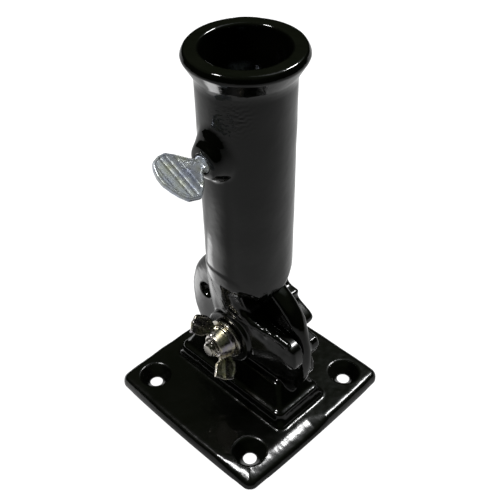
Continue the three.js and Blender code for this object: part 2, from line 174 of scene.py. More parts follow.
def polygonize(fn, lo, hi, h, relax=3):
    """Closed quad mesh of fn = 0 inside the box, with each vertex moved onto the surface. Returns points, quads, normals."""
    lo = np.array(lo, float)
    hi = np.array(hi, float)
    nb = np.ceil(((hi - lo) / h + 1) / 4).astype(int)
    n = nb * 4
    ax = [lo[a] + h * np.arange(n[a]) for a in range(3)]
    bc = [lo[a] + h * (4 * np.arange(nb[a]) + 1.5) for a in range(3)]
    B = np.stack(np.meshgrid(*bc, indexing="ij"), -1).reshape(-1, 3)
    dB = fn(B)
    near = np.abs(dB) < 2.6 * h * 1.7 + 0.8
    vals = np.repeat(np.repeat(np.repeat(dB.reshape(nb), 4, 0), 4, 1), 4, 2).astype(np.float64)
    mask = np.repeat(np.repeat(np.repeat(near.reshape(nb), 4, 0), 4, 1), 4, 2)
    ii = np.nonzero(mask)
    P = np.stack([ax[0][ii[0]], ax[1][ii[1]], ax[2][ii[2]]], 1)
    out = np.empty(len(P))
    for s in range(0, len(P), 300000):
        out[s : s + 300000] = fn(P[s : s + 300000])
    out[np.abs(out) < 1e-6] = 1e-6
    vals[ii] = out
    ins = vals < 0
    c = sum(
        ins[a : a + n[0] - 1, b : b + n[1] - 1, d : d + n[2] - 1].astype(np.uint8)
        for a in (0, 1)
        for b in (0, 1)
        for d in (0, 1)
    )
    cells = np.nonzero((c > 0) & (c < 8))
    idx = np.full(c.shape, -1, np.int64)
    idx[cells] = np.arange(len(cells[0]))
    ci, cj, ck = cells
    acc = np.zeros((len(ci), 3))
    cnt = np.zeros(len(ci))
    corner = {}
    for a in (0, 1):
        for b in (0, 1):
            for d in (0, 1):
                corner[(a, b, d)] = vals[ci + a, cj + b, ck + d]
    for axis in range(3):
        for o1 in (0, 1):
            for o2 in (0, 1):
                A = [0, 0, 0]
                others = [q for q in range(3) if q != axis]
                A[others[0]], A[others[1]] = o1, o2
                Bc = list(A)
                Bc[axis] = 1
                va, vb = corner[tuple(A)], corner[tuple(Bc)]
                m = (va < 0) != (vb < 0)
                t = np.where(m, va / np.where(m, va - vb, 1), 0)
                pos = np.array(A, float)[None, :].repeat(len(ci), 0)
                pos[:, axis] = t
                acc += pos * m[:, None]
                cnt += m
    V = lo + h * (np.stack(cells, 1) + acc / cnt[:, None])
    quads = []
    for axis in range(3):
        sh = [slice(None)] * 3
        a0, a1 = list(sh), list(sh)
        a0[axis], a1[axis] = slice(0, n[axis] - 1), slice(1, n[axis])
        s0, s1 = ins[tuple(a0)], ins[tuple(a1)]
        e = np.nonzero(s0 != s1)
        e = np.stack(e, 1)
        o = [q for q in range(3) if q != axis]
        ok = (e[:, o[0]] > 0) & (e[:, o[1]] > 0) & (e[:, o[0]] < n[o[0]] - 1) & (e[:, o[1]] < n[o[1]] - 1)
        e = e[ok]
        flag = s0[tuple(e.T)]

        def cell(d0, d1):
            g = e.copy()
            g[:, o[0]] -= d0
            g[:, o[1]] -= d1
            return idx[tuple(g.T)]

        q = np.stack([cell(1, 1), cell(0, 1), cell(0, 0), cell(1, 0)], 1)
        if axis == 1:
            flag = ~flag
        q[~flag] = q[~flag][:, ::-1]
        quads.append(q)
    Q = np.concatenate(quads)

    def grad(p, e=0.03):
        g = np.empty_like(p)
        for a in range(3):
            d = np.zeros(3)
            d[a] = e
            g[:, a] = (fn(p + d) - fn(p - d)) / (2 * e)
        return g

    def newton(p, times):
        for _ in range(times):
            g = grad(p)
            step = fn(p) / np.maximum((g * g).sum(1), 0.2)
            move = g * step[:, None]
            L = np.linalg.norm(move, axis=1)
            move *= np.minimum(1, 0.6 * h / np.maximum(L, 1e-9))[:, None]
            p = p - move
        return p

    V = newton(V, 2)
    edges = np.concatenate([Q[:, [0, 1]], Q[:, [1, 2]], Q[:, [2, 3]], Q[:, [3, 0]]])
    nv = len(V)
    deg = np.bincount(edges[:, 0], minlength=nv) + np.bincount(edges[:, 1], minlength=nv)
    for _ in range(relax):
        s = np.zeros_like(V)
        for a in range(3):
            s[:, a] = np.bincount(edges[:, 0], V[edges[:, 1], a], nv) + np.bincount(edges[:, 1], V[edges[:, 0], a], nv)
        s /= np.maximum(deg, 1)[:, None]
        delta = 0.5 * (s - V)
        g = grad(V)
        g /= np.maximum(np.linalg.norm(g, axis=1), 1e-9)[:, None]
        delta -= g * (delta * g).sum(1)[:, None]
        V = newton(V + delta, 1)
    V = newton(V, 1)
    N = grad(V)
    N /= np.maximum(np.linalg.norm(N, axis=1), 1e-9)[:, None]
    return V, Q, N


def make_object(name, V, faces, N=None, attrs=None):
    me = bpy.data.meshes.new(name)
    me.from_pydata((np.asarray(V) * MM).tolist(), [], [list(map(int, f)) for f in faces])
    me.update()
    me.shade_smooth()
    for key, val in (attrs or {}).items():
        at = me.attributes.new(key, "FLOAT", "POINT")
        at.data.foreach_set("value", np.asarray(val, np.float32))
    if N is not None:
        me.normals_split_custom_set_from_vertices(np.asarray(N).tolist())
    ob = bpy.data.objects.new(name, me)
    bpy.context.scene.collection.objects.link(ob)
    return ob


def rot_x(a):
    c, s = math.cos(a), math.sin(a)
    return np.array([[1, 0, 0], [0, c, -s], [0, s, c]])


def rot_y(a):
    c, s = math.cos(a), math.sin(a)
    return np.array([[c, 0, s], [0, 1, 0], [-s, 0, c]])


HOLDER = rot_x(TILT)
LEANM = rot_y(LEAN)


def to_world(V):
    return V @ HOLDER.T + PIVOT


# ---------------------------------------------------------------- base casting
cast_base = waves(11, 18, 5.0, 16.0)
fine_base = waves(12, 26, 1.6, 4.5)
LENS_P = 2 / 0.9


def d_lens(P):
    x = P[:, 0] - 0.85
    r = np.hypot(P[:, 1], P[:, 2] - PIVOT[2])
    a = np.abs(x) / 3.85
    # the flat runs further out along the upper -Y quarter
    ang = np.degrees(np.arctan2(P[:, 2] - PIVOT[2], -P[:, 1]))
    up = np.clip((ang - 12) / 22, 0, 1) * np.clip((120 - ang) / 30, 0, 1)
    up = up * up * (3 - 2 * up)
    span = 10.5 - 8.3 * up
    b = np.maximum(r - (31.5 - span), 0) / span
    f = np.maximum((a ** LENS_P + b ** LENS_P), 1e-9) ** (1 / LENS_P)
    ga = a ** (LENS_P - 1) / 3.85
    gb = b ** (LENS_P - 1) / span
    g = np.hypot(ga, gb) / np.maximum(f, 1e-6) ** (LENS_P - 1)
    return (f - 1) / np.maximum(g, 0.09)


def d_index(P):
    y, z = P[:, 1], P[:, 2] - PIVOT[2]
    r = np.hypot(y, z)
    a = np.arctan2(z, -y)
    u = ((np.degrees(a) + 8 + 360) % 30 - 15) / 15
    R = 30.2 - 4.2 * np.abs(u) ** 1.6
    t = np.clip((np.sin(a) - 0.22) / 0.08, 0, 1)
    R = np.where(t > 0, R * (1 - t) + np.minimum(R, 25.4) * t, R)
    return smax((r - R) * 0.85, np.abs(P[:, 0] - 4.4) - 3.6, 1.3)


def d_flange(P):
    x, y, z = P[:, 0], P[:, 1], P[:, 2]
    hx = 38.1 + 0.9 * (1 - np.minimum((y / 37.0) ** 2, 1.2))
    hy = 38.1 + 0.9 * (1 - np.minimum((x / 37.0) ** 2, 1.2))
    rc = 3.4
    s = rbox2(x, y, hx, hy, rc)
    # the top surface falls away towards the edges, most of all along the nut-side half of the -Y edge
    wy = np.clip((-y - 20) / 14, 0, 1) * np.clip((5.0 - x) / 7.0, 0, 1)
    width = 3.4 + 5.6 * wy
    drop = 1.3 + 1.5 * wy
    u = np.clip(1 + s / width, 0, 1.3)
    top = 5.0 - drop * u ** 2.3
    d = smax((z - top) * 0.93, s, 1.9)
    return smax(d, -z, 0.7)


def d_block(P, x0, x1, y0, y1, z0, z1, r, k):
    d2 = rbox2(P[:, 0] - (x0 + x1) / 2, P[:, 1] - (y0 + y1) / 2, (x1 - x0) / 2, (y1 - y0) / 2, r)
    return smax(smax(d2, P[:, 2] - z1, k), z0 - P[:, 2], 0.5)


def f_base(P):
    x, y, z = P[:, 0], P[:, 1], P[:, 2]
    d = d_flange(P)
    for sx in (-1, 1):
        for sy in (-1, 1):
            r = np.hypot(x - sx * 27.6, y - sy * 27.6)
            cone = (r - (2.6 + 0.9 * np.maximum(z - 0.7, 0))) * 0.76
            d = smax(d, -cone, 0.5)
    d = smin(d, d_block(P, -11.4, 12.25, -27.8, 29.6, 1.0, 10.0, 3.0, 1.0), 2.2)
    # foot: sides drawn in from the pad's edges up to the disc
    rise = np.clip((z - 9.3) / 8.2, -0.4, 1.3)
    fx0, fx1 = -10.6 + 5.6 * rise, 11.0 - 4.3 * rise
    fy0, fy1 = -27.0 + 6.3 * rise, 28.6 - 3.2 * rise
    foot = rbox2(x - (fx0 + fx1) / 2, y - (fy0 + fy1) / 2, (fx1 - fx0) / 2, (fy1 - fy0) / 2, 2.2) * 0.80
    foot = smax(smax(foot, z - 17.8, 1.6), 4.0 - z, 0.5)
    d = smin(d, foot, 1.6)
    d = smin(d, d_lens(P), 1.0)
    d = smin(d, d_index(P), 0.9)
    d = smax(d, 3.36 - np.hypot(y, z - PIVOT[2]), 0.5)
    dimple = np.sqrt((x + 3.6) ** 2 + (y - 20.4) ** 2 + (z - 40.2) ** 2) - 3.6
    d = smax(d, -dimple, 0.8)
    calm = np.clip((z - 1.0) / 2.0, 0, 1)
    return d + calm * (0.035 * cast_base(P) + 0.010 * fine_base(P))


# ---------------------------------------------------------------- tube casting, modelled upright about the bolt axis
M = MOUTH
OUTER = [[-15.5, 30.0], [-15.2, 28.2], [-14.2, 26.4], [-12.2, 25.3], [-9, 25.0], [0, 25], [9, 25.0], [12.2, 25.3], [14.2, 26.4], [15.2, 28.2],
         [15.5, 30.0], [15.5, M - 9.8], [15.75, M - 8.4], [16.25, M - 7.0], [18.55, M - 2.9], [19.0, M - 2.1], [18.98, M - 1.7],
         [18.2, M - 0.2], [17.8, M + 0.15], [0, M + 0.1], [-17.8, M + 0.15], [-18.2, M - 0.2], [-18.98, M - 1.7], [-19.0, M - 2.1],
         [-18.55, M - 2.9], [-16.25, M - 7.0], [-15.75, M - 8.4], [-15.5, M - 9.8]]
BORE = [[-13.4, 40], [-12.6, 37.9], [-10.4, 37], [0, 37], [10.4, 37], [12.6, 37.9], [13.4, 40], [13.4, M - 0.6], [14.3, M + 0.7],
        [14.6, M + 6], [0, M + 6], [-14.6, M + 6], [-14.3, M + 0.7], [-13.4, M - 0.6]]
FRONT = [[-11.8, -4.4], [-22.4, 1.4], [-30.4, 3.6], [-31.4, 8.2], [-28.8, 13.4], [-20.3, 14.2], [-13.4, 15.6], [-9.4, 19.5], [-8.0, 27],
         [-7, 34], [0, 36], [11, 34], [16.0, 28], [17.6, 21.2], [16.6, 13.2], [14.6, 6.4], [12.2, -0.5], [10.2, -4.4], [4.0, -10.3], [-5.4, -9.6]]
REAR = [[-8, -7.6], [-17.0, 1.6], [-19.9, 6.2], [-21.8, 11.2], [-14.4, 15.6], [-13.9, 19.0], [-8.6, 20.4], [-8.0, 30], [-6, 34], [6, 34], [8.0, 30], [8.4, 22],
        [9.6, 15.4], [14.2, 11.4], [20.4, 8.6], [17.4, 2.6], [8, -7.6], [0, -11]]
# middle of the raised bead along the front cheek's upper edge: x, y, z, radius
BEAD = [[-12.2, -2.6, 27.0, 1.2], [-11.9, -5.2, 22.0, 1.2], [-11.2, -8.4, 18.2, 1.3], [-10.2, -12.4, 15.9, 1.4], [-9.2, -17.0, 15.2, 1.1],
        [-8.5, -22.0, 15.1, 1.1], [-7.8, -26.5, 14.0, 1.1]]
# groove below the bead
GROOVE = [[-11.4, 2.6, 20.0, 0.3], [-10.9, -1.6, 16.4, 0.8], [-10.6, -5.6, 14.0, 1.0], [-10.6, -11.0, 12.4, 1.2], [-10.4, -16.5, 11.9, 1.2], [-10.4, -20.3, 12.2, 0.4]]
F_OUTER = Field2D(OUTER, 0.22, h=0.3)
F_BORE = Field2D(BORE, 0.15, h=0.3)
F_FRONT = Field2D(catmull(FRONT), 0.4)
F_REAR = Field2D(catmull(REAR), 0.4)
ROOT = [[-13.5, 36], [-12.0, 30], [-9.8, 26], [-8.8, 20], [-8.8, 6], [0, 6], [8.8, 6], [8.8, 20], [9.8, 26], [12.0, 30], [13.5, 36]]
F_ROOT = Field2D(ROOT, 0.6)
BOSS = [[0, -19.2], [4.2, -19.2], [5.5, -18.7], [6.3, -17.4], [6.9, -15.2], [8.0, -13.9], [8.0, -9.0], [0, -9.0], [-8.0, -9.0], [-8.0, -13.9],
        [-6.9, -15.2], [-6.3, -17.4], [-5.5, -18.7], [-4.2, -19.2]]
F_BOSS = Field2D(BOSS, 0.4, h=0.3)

cast_tube = waves(21, 18, 6.0, 20.0)
fine_tube = waves(22, 26, 1.8, 5.0)


def leaned(P):
    return (P - np.array([TUBE_X, 0, 0])) @ LEANM  # inverse of the lean


def d_chain(P, pts):
    """Round bar through a chain of [x, y, z, radius] points."""
    pts = np.array(pts, float)
    best = None
    for a, b in zip(pts[:-1], pts[1:]):
        e = b[:3] - a[:3]
        t = np.clip(((P - a[:3]) @ e) / (e @ e), 0, 1)
        c = np.linalg.norm(P - a[:3] - t[:, None] * e, axis=1) - (a[3] + (b[3] - a[3]) * t)
        best = c if best is None else smin(best, c, 1.2)
    return best


def f_tube(P):
    x, y, z = P[:, 0], P[:, 1], P[:, 2]
    q = leaned(P)
    r = np.hypot(q[:, 0], q[:, 1])
    L = q[:, 2]
    az = np.degrees(np.arctan2(q[:, 1], q[:, 0]))
    # the barrel's lower end hangs lowest a little to the nut side of -Y
    off = np.abs((az + 105 + 180) % 360 - 180)
    t = np.clip((off - 10) / 40, 0, 1)
    shift = (-0.9 + 4.0 * t * t * (3 - 2 * t)) * np.clip((48 - L) / 14, 0, 1)
    barrel = F_OUTER(r, L - shift)
    root = F_ROOT(r, L)
    d2 = F_FRONT(y, z)
    # the front cheek's face flows down out of the barrel and falls away towards its outline
    left = np.clip((y - 4) / 6, 0, 1)
    inset = np.clip(1 + d2 / (7.0 + 2.0 * left), 0, 1.3)
    face = -9.6 + 0.02 * np.clip(z - 2, 0, 9) - 0.17 * np.clip(z - 11, 0, 16) * (1 - left) + (1.5 + 2.6 * left) * inset ** 2.0
    skin = (r - smin(15.5 + 0 * L, 10.0 + 0.27 * (L - 10), 2.0)) * 0.96
    skin = smax(skin, 8.0 - L, 2.0)
    front = smax(d2, smin(face - x, skin, 3.0), 0.9)
    front = smax(front, x + 3.0, 0.3)
    d3 = F_REAR(y, z)
    rear = smax(d3, x - (13.6 - 1.0 * np.clip(1 + d3 / 4.0, 0, 1.2) ** 2), 1.4)
    rear = smax(rear, 8.0 - x, 0.3)
    bead = d_chain(P, BEAD)
    rb = np.hypot(y, z)
    bossf = smax(smax(rb - 11.0, -11.0 - x, 0.9), x + 3.0, 0.3)
    bossr = smax(smax(rb - 9.6, x - 16.6, 0.9), 8.0 - x, 0.3)
    d = smin(root, front, 2.0)
    d = smin(d, rear, 2.0)
    d = smin(d, bead, 1.0)
    d = smax(d, -d_chain(P, GROOVE), 0.8)
    d = smin(d, bossf, 1.2)
    d = smin(d, bossr, 1.4)
    d = smin(d, barrel, 1.4)
    lock = F_BOSS(np.hypot(q[:, 1], L - LOCK_L), q[:, 0])
    h = L - LOCK_L
    up = np.where(h > 0, h / 13.6, h / 9.4)
    dome = (np.sqrt(((q[:, 0] + 10.5) / 8.3) ** 2 + (q[:, 1] / 8.6) ** 2 + up ** 2) - 1) * 8.0
    d = smin(d, smin(lock, dome, 1.2), 0.9)
    # wrinkles in the skin above and beside the lock boss
    win = np.exp(-(((az + 146 + 180) % 360 - 180) / 18.0) ** 2 - ((L - 102.5) / 5.5) ** 2)
    d = d + win * 0.085 * np.sin(2 * math.pi * (L / 1.7 + 0.45 * np.sin(az * 0.21) + 0.2 * np.sin(az * 0.55 + L)))
    d = d + 0.030 * cast_tube(P) + 0.006 * fine_tube(P)
    d = smax(d, -F_BORE(r, L), 0.35)
    slot = smax(smax(rb - 32.2, -3.4 - x, 0.3), x - 8.4, 0.3)
    d = smax(d, -slot, 0.5)
    d = smax(d, 3.36 - rb, 0.5)
    screw = smax(np.hypot(q[:, 1], L - LOCK_L) - 3.2, q[:, 0] + 4.0, 0.3)
    d = smax(d, -screw, 0.5)
    return d


STEP = 0.62

V, Q, N = polygonize(f_base, [-41.5, -41.5, -1.5], [41.5, 41.5, 68.0], STEP)
dull = np.maximum(np.clip((7.5 - V[:, 2]) / 2.5, 0, 1), 0.5 * np.clip((19.0 - V[:, 2]) / 2.0, 0, 1))
base_casting = make_object("base_casting", V, Q, N, {"dull": dull, "painted_reflection": 0 * V[:, 2]})
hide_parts("base_plate")
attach(base_casting, "base")
print("base", len(V), len(Q))

V, Q, N = polygonize(f_tube, [-34.0, -34.5, -13.0], [24.0, 24.0, 119.5], STEP)
W = to_world(V)
q = leaned(V)
# painted reflection: mask of the light patch on the bore wall just inside the mouth
inside = np.clip((14.6 - np.hypot(q[:, 0], q[:, 1])) / 0.6, 0, 1) * (q[:, 2] > 60)
across = (W - np.array([3.1, 4.2, 137.4])) @ np.array([0.85, -0.53, -0.05])
painted_reflection = inside * np.exp(-np.abs(across / 3.0) ** 4 - np.abs((W[:, 2] - 137.4) / 1.9) ** 4)
dull = 0.85 * np.clip((27.0 - V[:, 2]) / 4.0, 0, 1)  # the cheeks are less glossy than the barrel
tube_casting = make_object("tube_casting", W, Q, N @ HOLDER.T, {"dull": dull, "painted_reflection": painted_reflection})
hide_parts("pole_tube")
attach(tube_casting, "holder")
print("tube", len(V), len(Q))

# ---------------------------------------------------------------- turned hardware, about the X axis


def revolve(rings, n, closed=False, ends=None):
    """Mesh from rings of (x, r), each a number or one value per angle. ends: x of the two closing centre points."""
    t = 2 * math.pi * np.arange(n) / n
    V = np.concatenate([np.stack([x + 0 * t, r * np.cos(t), r * np.sin(t)], 1) for x, r in rings])
    faces = []
    m = len(rings)
    for i in range(m if closed else m - 1):
        a, b = i * n, ((i + 1) % m) * n
        for j in range(n):
            k = (j + 1) % n
            faces.append((a + j, a + k, b + k, b + j))
    if ends:
        V = np.concatenate([V, [[ends[0], 0, 0], [ends[1], 0, 0]]])
        c0, c1, last = m * n, m * n + 1, (m - 1) * n
        for j in range(n):
            k = (j + 1) % n
            faces.append((c0, k, j))
            faces.append((c1, last + j, last + k))
    return V, faces


def thread(x, t, root, crest, pitch=1.27):
    f = (x / pitch - t / (2 * math.pi)) % 1.0
    h = np.clip(1.12 - np.abs(2 * f - 1) * 1.35, 0, 1)
    return root + (crest - root) * h * h * (3 - 2 * h)


def bolt_mesh():
    n = 72
    t = 2 * math.pi * np.arange(n) / n
    rings = [(-21.3, 1.9)]
    for x in np.arange(-21.28, -9.9, 0.1):
        r = thread(x, t, 2.34, 3.15)
        r = np.minimum(r, 2.2 + (x + 21.3) * 0.9)
        mixin = np.clip((x + 11.2) / 1.2, 0, 1)
        rings.append((x, r * (1 - mixin) + 3.15 * mixin))
    rings += [(-5.0, 3.15), (5.0, 3.15), (12.0, 3.15), (16.6, 3.15), (16.85, 3.35), (16.9, 3.6)]
    R = np.minimum(5.55 / np.cos((t + math.pi / 6) % (math.pi / 3) - math.pi / 6), 6.3)
    xc = 21.2 - (R - 5.3) / 2.4
    rings += [(16.9, R - 0.25), (16.96, R - 0.07), (17.08, R), (xc - 0.16, R), (xc - 0.03, R - 0.06), (xc + 0.07, R - 0.22),
              (21.18, 5.1), (21.14, 4.9), (21.02, 4.5), (21.0, 2.5)]
    return revolve(rings, n, ends=(-21.3, 21.0))


def washer_mesh():
    n = 96
    t = 2 * math.pi * np.arange(n) / n
    out = [(-12.7, 3.7), (-12.7, 5.5), (-12.7, 7.6), (-12.64, 7.84), (-12.46, 7.98), (-12.2, 8.0), (-11.7, 8.0), (-11.45, 7.95), (-11.32, 7.75),
           (-11.3, 7.5), (-11.3, 3.7), (-11.4, 3.5), (-12.6, 3.5)]
    return revolve([(x + 0.02 * np.sin(2 * t + 0.7), r + 0.03 * np.sin(3 * t)) for x, r in out], n, closed=True)


WING = [[3.8, -14.3], [6.8, -13.9], [9.8, -13.8], [11.9, -15.2], [14.1, -18.2], [14.0, -19.2], [12.6, -21.6], [8.8, -24.9], [7.2, -25.0],
        [6.6, -24.0], [6.2, -21.6], [5.6, -18.6], [3.8, -17.4]]
F_WING = Field2D(WING, 0.22, h=0.2, pad=4.0)
cast_nut = waves(31, 16, 2.0, 6.0)


def f_nut(P):
    x, y, z = P[:, 0], P[:, 1], P[:, 2]
    r = np.hypot(y, z)
    hub = smax(smax((r - (6.3 + (x + 13.0) * 0.32)) * 0.95, -18.7 - x, 0.7), x + 13.0, 0.4)
    foot = smax(smax(r - 6.5, -14.1 - x, 0.5), x + 13.0, 0.3)
    d = smin(hub, foot, 0.5)
    for turn in (0, 180):
        a = math.radians(38 + turn)
        uy, uz = -math.sin(a), -math.cos(a)
        s, w = y * uy + z * uz, y * uz - z * uy
        if turn == 0:
            w = w - 0.24 * np.maximum(s - 6.0, 0)  # this wing is bent forward
        d2 = F_WING(s, x)
        # pressed ridge from the hub to the outer corner, and a thicker rim
        e = np.array([7.2, -5.0]) / math.hypot(7.2, 5.0)
        off = (s - 5.4) * e[1] - (x + 16.4) * e[0]
        half = 0.62 + 0.34 * np.exp(-((off / 0.8) ** 2)) + 0.20 * np.exp(-(((d2 + 0.55) / 0.5) ** 2))
        half = half + 0.5 * np.clip((7.2 - s) / 2.5, 0, 1) ** 2
        wing = smax(d2, np.abs(w) - half, 0.45)
        d = smin(d, wing, 0.9)
    d = smax(d, 3.3 + np.maximum(0, -17.9 - x) - r, 0.2)
    return d + 0.03 * cast_nut(P)


PADDLE = [[-2.4, -17.9], [-2.5, -20.6], [-4.3, -22.4], [-6.8, -24.6], [-8.7, -26.8], [-8.85, -29.4], [-7.9, -32.0], [-5.8, -33.35],
          [-3.3, -34.06], [-0.3, -34.15], [2.85, -33.3], [5.3, -32.4], [7.9, -30.8], [8.5, -28.8], [9.1, -26.9], [6.1, -23.4], [4.0, -22.0],
          [2.4, -20.8], [2.2, -17.9]]
F_PADDLE = Field2D(PADDLE, 0.3, h=0.2, pad=4.0)
PADDLE_TURN = math.radians(29) - TILT
cast_screw = waves(41, 16, 1.5, 5.0)


def f_screw(P):
    x, y, z = P[:, 0], P[:, 1], P[:, 2]
    uy, uz = -math.cos(PADDLE_TURN), -math.sin(PADDLE_TURN)
    s, w = y * uy + z * uz, y * uz - z * uy
    d2 = F_PADDLE(s, x)
    # grip ridges across the spade, stopping short of its rim
    win = np.clip((x + 33.0) / 0.8, 0, 1) * np.clip((-24.4 - x) / 0.8, 0, 1) * np.clip((-0.7 - d2) / 0.8, 0, 1)
    tooth = np.abs((x + 30.4) / 1.02 % 2 - 1)
    fine = np.abs((x + 30.1) / 0.42 % 2 - 1)
    cuts = sum(g * np.exp(-(((x - c) / 0.24) ** 2)) for c, g in ((-25.0, 0.34), (-27.5, 0.20), (-29.4, 0.20), (-31.9, 0.16)))
    half = 0.92 + win * (0.10 * tooth + 0.035 * fine) - cuts * np.clip(-0.4 - d2, 0, 1)
    half = half + 0.12 * np.exp(-(((d2 + 0.5) / 0.45) ** 2))
    d = smax(d2, np.abs(w) - half, 0.5)
    r = np.hypot(y, z)
    shank = smax(smax((r - thread(x, np.arctan2(z, y), 2.50, 2.95)) * 0.75, -19.4 - x, 0.8), x + 10.2, 0.6)
    d = smin(d, shank, 1.1)
    return d + 0.02 * cast_screw(P)


FINE = 0.28
LOCK_AT = np.array([TUBE_X + LOCK_L * math.sin(LEAN), 0, LOCK_L * math.cos(LEAN)])

V, Q = bolt_mesh()
hex_bolt = make_object("hex_bolt", to_world(V), Q)
hex_bolt.data.set_sharp_from_angle(angle=math.radians(38))
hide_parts("pivot_bolt")
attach(hex_bolt, "holder")

V, Q = washer_mesh()
plain_washer = make_object("plain_washer", V + PIVOT, Q)
plain_washer.data.set_sharp_from_angle(angle=math.radians(50))
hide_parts("flat_washer")
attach(plain_washer, "washer")

V, Q, N = polygonize(f_nut, [-26.0, -15.2, -15.2], [-12.0, 15.2, 15.2], FINE)
winged_nut = make_object("winged_nut", V + PIVOT, Q, N)
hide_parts("wing_nut")
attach(winged_nut, "nut")
print("nut", len(V), len(Q))

V, Q, N = polygonize(f_screw, [-35.4, -10.2, -6.6], [-9.2, 10.2, 6.6], FINE)
spade_screw = make_object("spade_screw", to_world(V @ LEANM.T + LOCK_AT), Q, N @ LEANM.T @ HOLDER.T)
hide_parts("thumb_screw")
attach(spade_screw, "lock_screw")
print("screw", len(V), len(Q))

# ---------------------------------------------------------------- materials


class Nodes:
    def __init__(self, name):
        self.mat = bpy.data.materials.new(name)
        self.mat.use_nodes = True
        self.t = self.mat.node_tree
        self.t.nodes.clear()
        self.out = self.t.nodes.new("ShaderNodeOutputMaterial")

    def link(self, a, b):
        self.t.links.new(a, b)

    def noise(self, co, scale, detail=3.0, rough=0.55):
        n = self.t.nodes.new("ShaderNodeTexNoise")
        n.inputs["Scale"].default_value = scale
        n.inputs["Detail"].default_value = detail
        n.inputs["Roughness"].default_value = rough
        self.link(co, n.inputs["Vector"])
        return n

    def attribute(self, name):
        n = self.t.nodes.new("ShaderNodeAttribute")
        n.attribute_name = name
        return n.outputs["Fac"]

    def ramp(self, fac, stops):
        n = self.t.nodes.new("ShaderNodeValToRGB")
        e = n.color_ramp.elements
        while len(e) < len(stops):
            e.new(0.5)
        for el, (p, c) in zip(e, stops):
            el.position = p
            el.color = (*c, 1) if len(c) == 3 else c
        self.link(fac, n.inputs["Fac"])
        return n

    def maths(self, op, a, b=None, c=None):
        n = self.t.nodes.new("ShaderNodeMath")
        n.operation = op
        for i, v in enumerate((a, b, c)):
            if v is None:
                continue
            if isinstance(v, (int, float)):
                n.inputs[i].default_value = v
            else:
                self.link(v, n.inputs[i])
        return n.outputs[0]


def bump(m, height, dist, strength, normal=None):
    b = m.t.nodes.new("ShaderNodeBump")
    b.inputs["Strength"].default_value = strength
    b.inputs["Distance"].default_value = dist
    m.link(height, b.inputs["Height"])
    if normal is not None:
        m.link(normal, b.inputs["Normal"])
    return b.outputs["Normal"]


def enamel_material():
    m = Nodes("gloss_enamel")
    tc = m.t.nodes.new("ShaderNodeTexCoord")
    co = tc.outputs["Object"]
    p = m.t.nodes.new("ShaderNodeBsdfPrincipled")
    m.link(p.outputs[0], m.out.inputs["Surface"])
    # colour: near black, very slightly green to brown in patches, thinner and greyer on outward edges
    n1 = m.noise(co, 60, 4)
    col = m.ramp(n1.outputs["Fac"], [(0.3, (0.0008, 0.0011, 0.0006)), (0.7, (0.0021, 0.0023, 0.0015))])
    geo = m.t.nodes.new("ShaderNodeNewGeometry")
    edge = m.ramp(geo.outputs["Pointiness"], [(0.53, (0, 0, 0)), (0.62, (1, 1, 1))])
    n2 = m.noise(co, 900, 3)
    chip = m.maths("MULTIPLY", edge.outputs["Color"], m.maths("MULTIPLY", n2.outputs["Fac"], 0.35))
    mix = m.t.nodes.new("ShaderNodeMix")
    mix.data_type = "RGBA"
    m.link(chip, mix.inputs["Factor"])
    m.link(col.outputs["Color"], mix.inputs["A"])
    mix.inputs["B"].default_value = (0.03, 0.031, 0.033, 1)
    # painted reflection: a light blue-grey patch just inside the mouth, standing in for a light patch reflected on the
    # bore's far wall; the paint is also rougher there
    painted_reflection = m.attribute("painted_reflection")
    n6 = m.noise(co, 700, 4, 0.6)
    reflection_patch_mask = m.maths("MULTIPLY", painted_reflection, m.ramp(n6.outputs["Fac"], [(0.36, (0.25,) * 3), (0.60, (1,) * 3)]).outputs["Color"])
    mix2 = m.t.nodes.new("ShaderNodeMix")
    mix2.data_type = "RGBA"
    m.link(reflection_patch_mask, mix2.inputs["Factor"])
    m.link(mix.outputs["Result"], mix2.inputs["A"])
    mix2.inputs["B"].default_value = (0.30, 0.34, 0.42, 1)
    m.link(mix2.outputs["Result"], p.inputs["Base Color"])
    # roughness: glossy with duller patches
    n3 = m.noise(co, 140, 3)
    r = m.ramp(n3.outputs["Fac"], [(0.35, (0.05,) * 3), (0.75, (0.12,) * 3)])
    rough = m.maths("MULTIPLY_ADD", m.attribute("dull"), 0.13, r.outputs["Color"])
    rough = m.maths("MULTIPLY_ADD", reflection_patch_mask, 0.4, rough)
    m.link(rough, p.inputs["Roughness"])
    p.inputs["IOR"].default_value = 1.5
    # orange peel and grit under the paint
    n4 = m.noise(co, 420, 2, 0.5)
    n5 = m.noise(co, 1500, 2, 0.5)
    nn = bump(m, n4.outputs["Fac"], 0.00035, 0.10)
    nn = bump(m, n5.outputs["Fac"], 0.00012, 0.10, nn)
    m.link(nn, p.inputs["Normal"])
    return m.mat


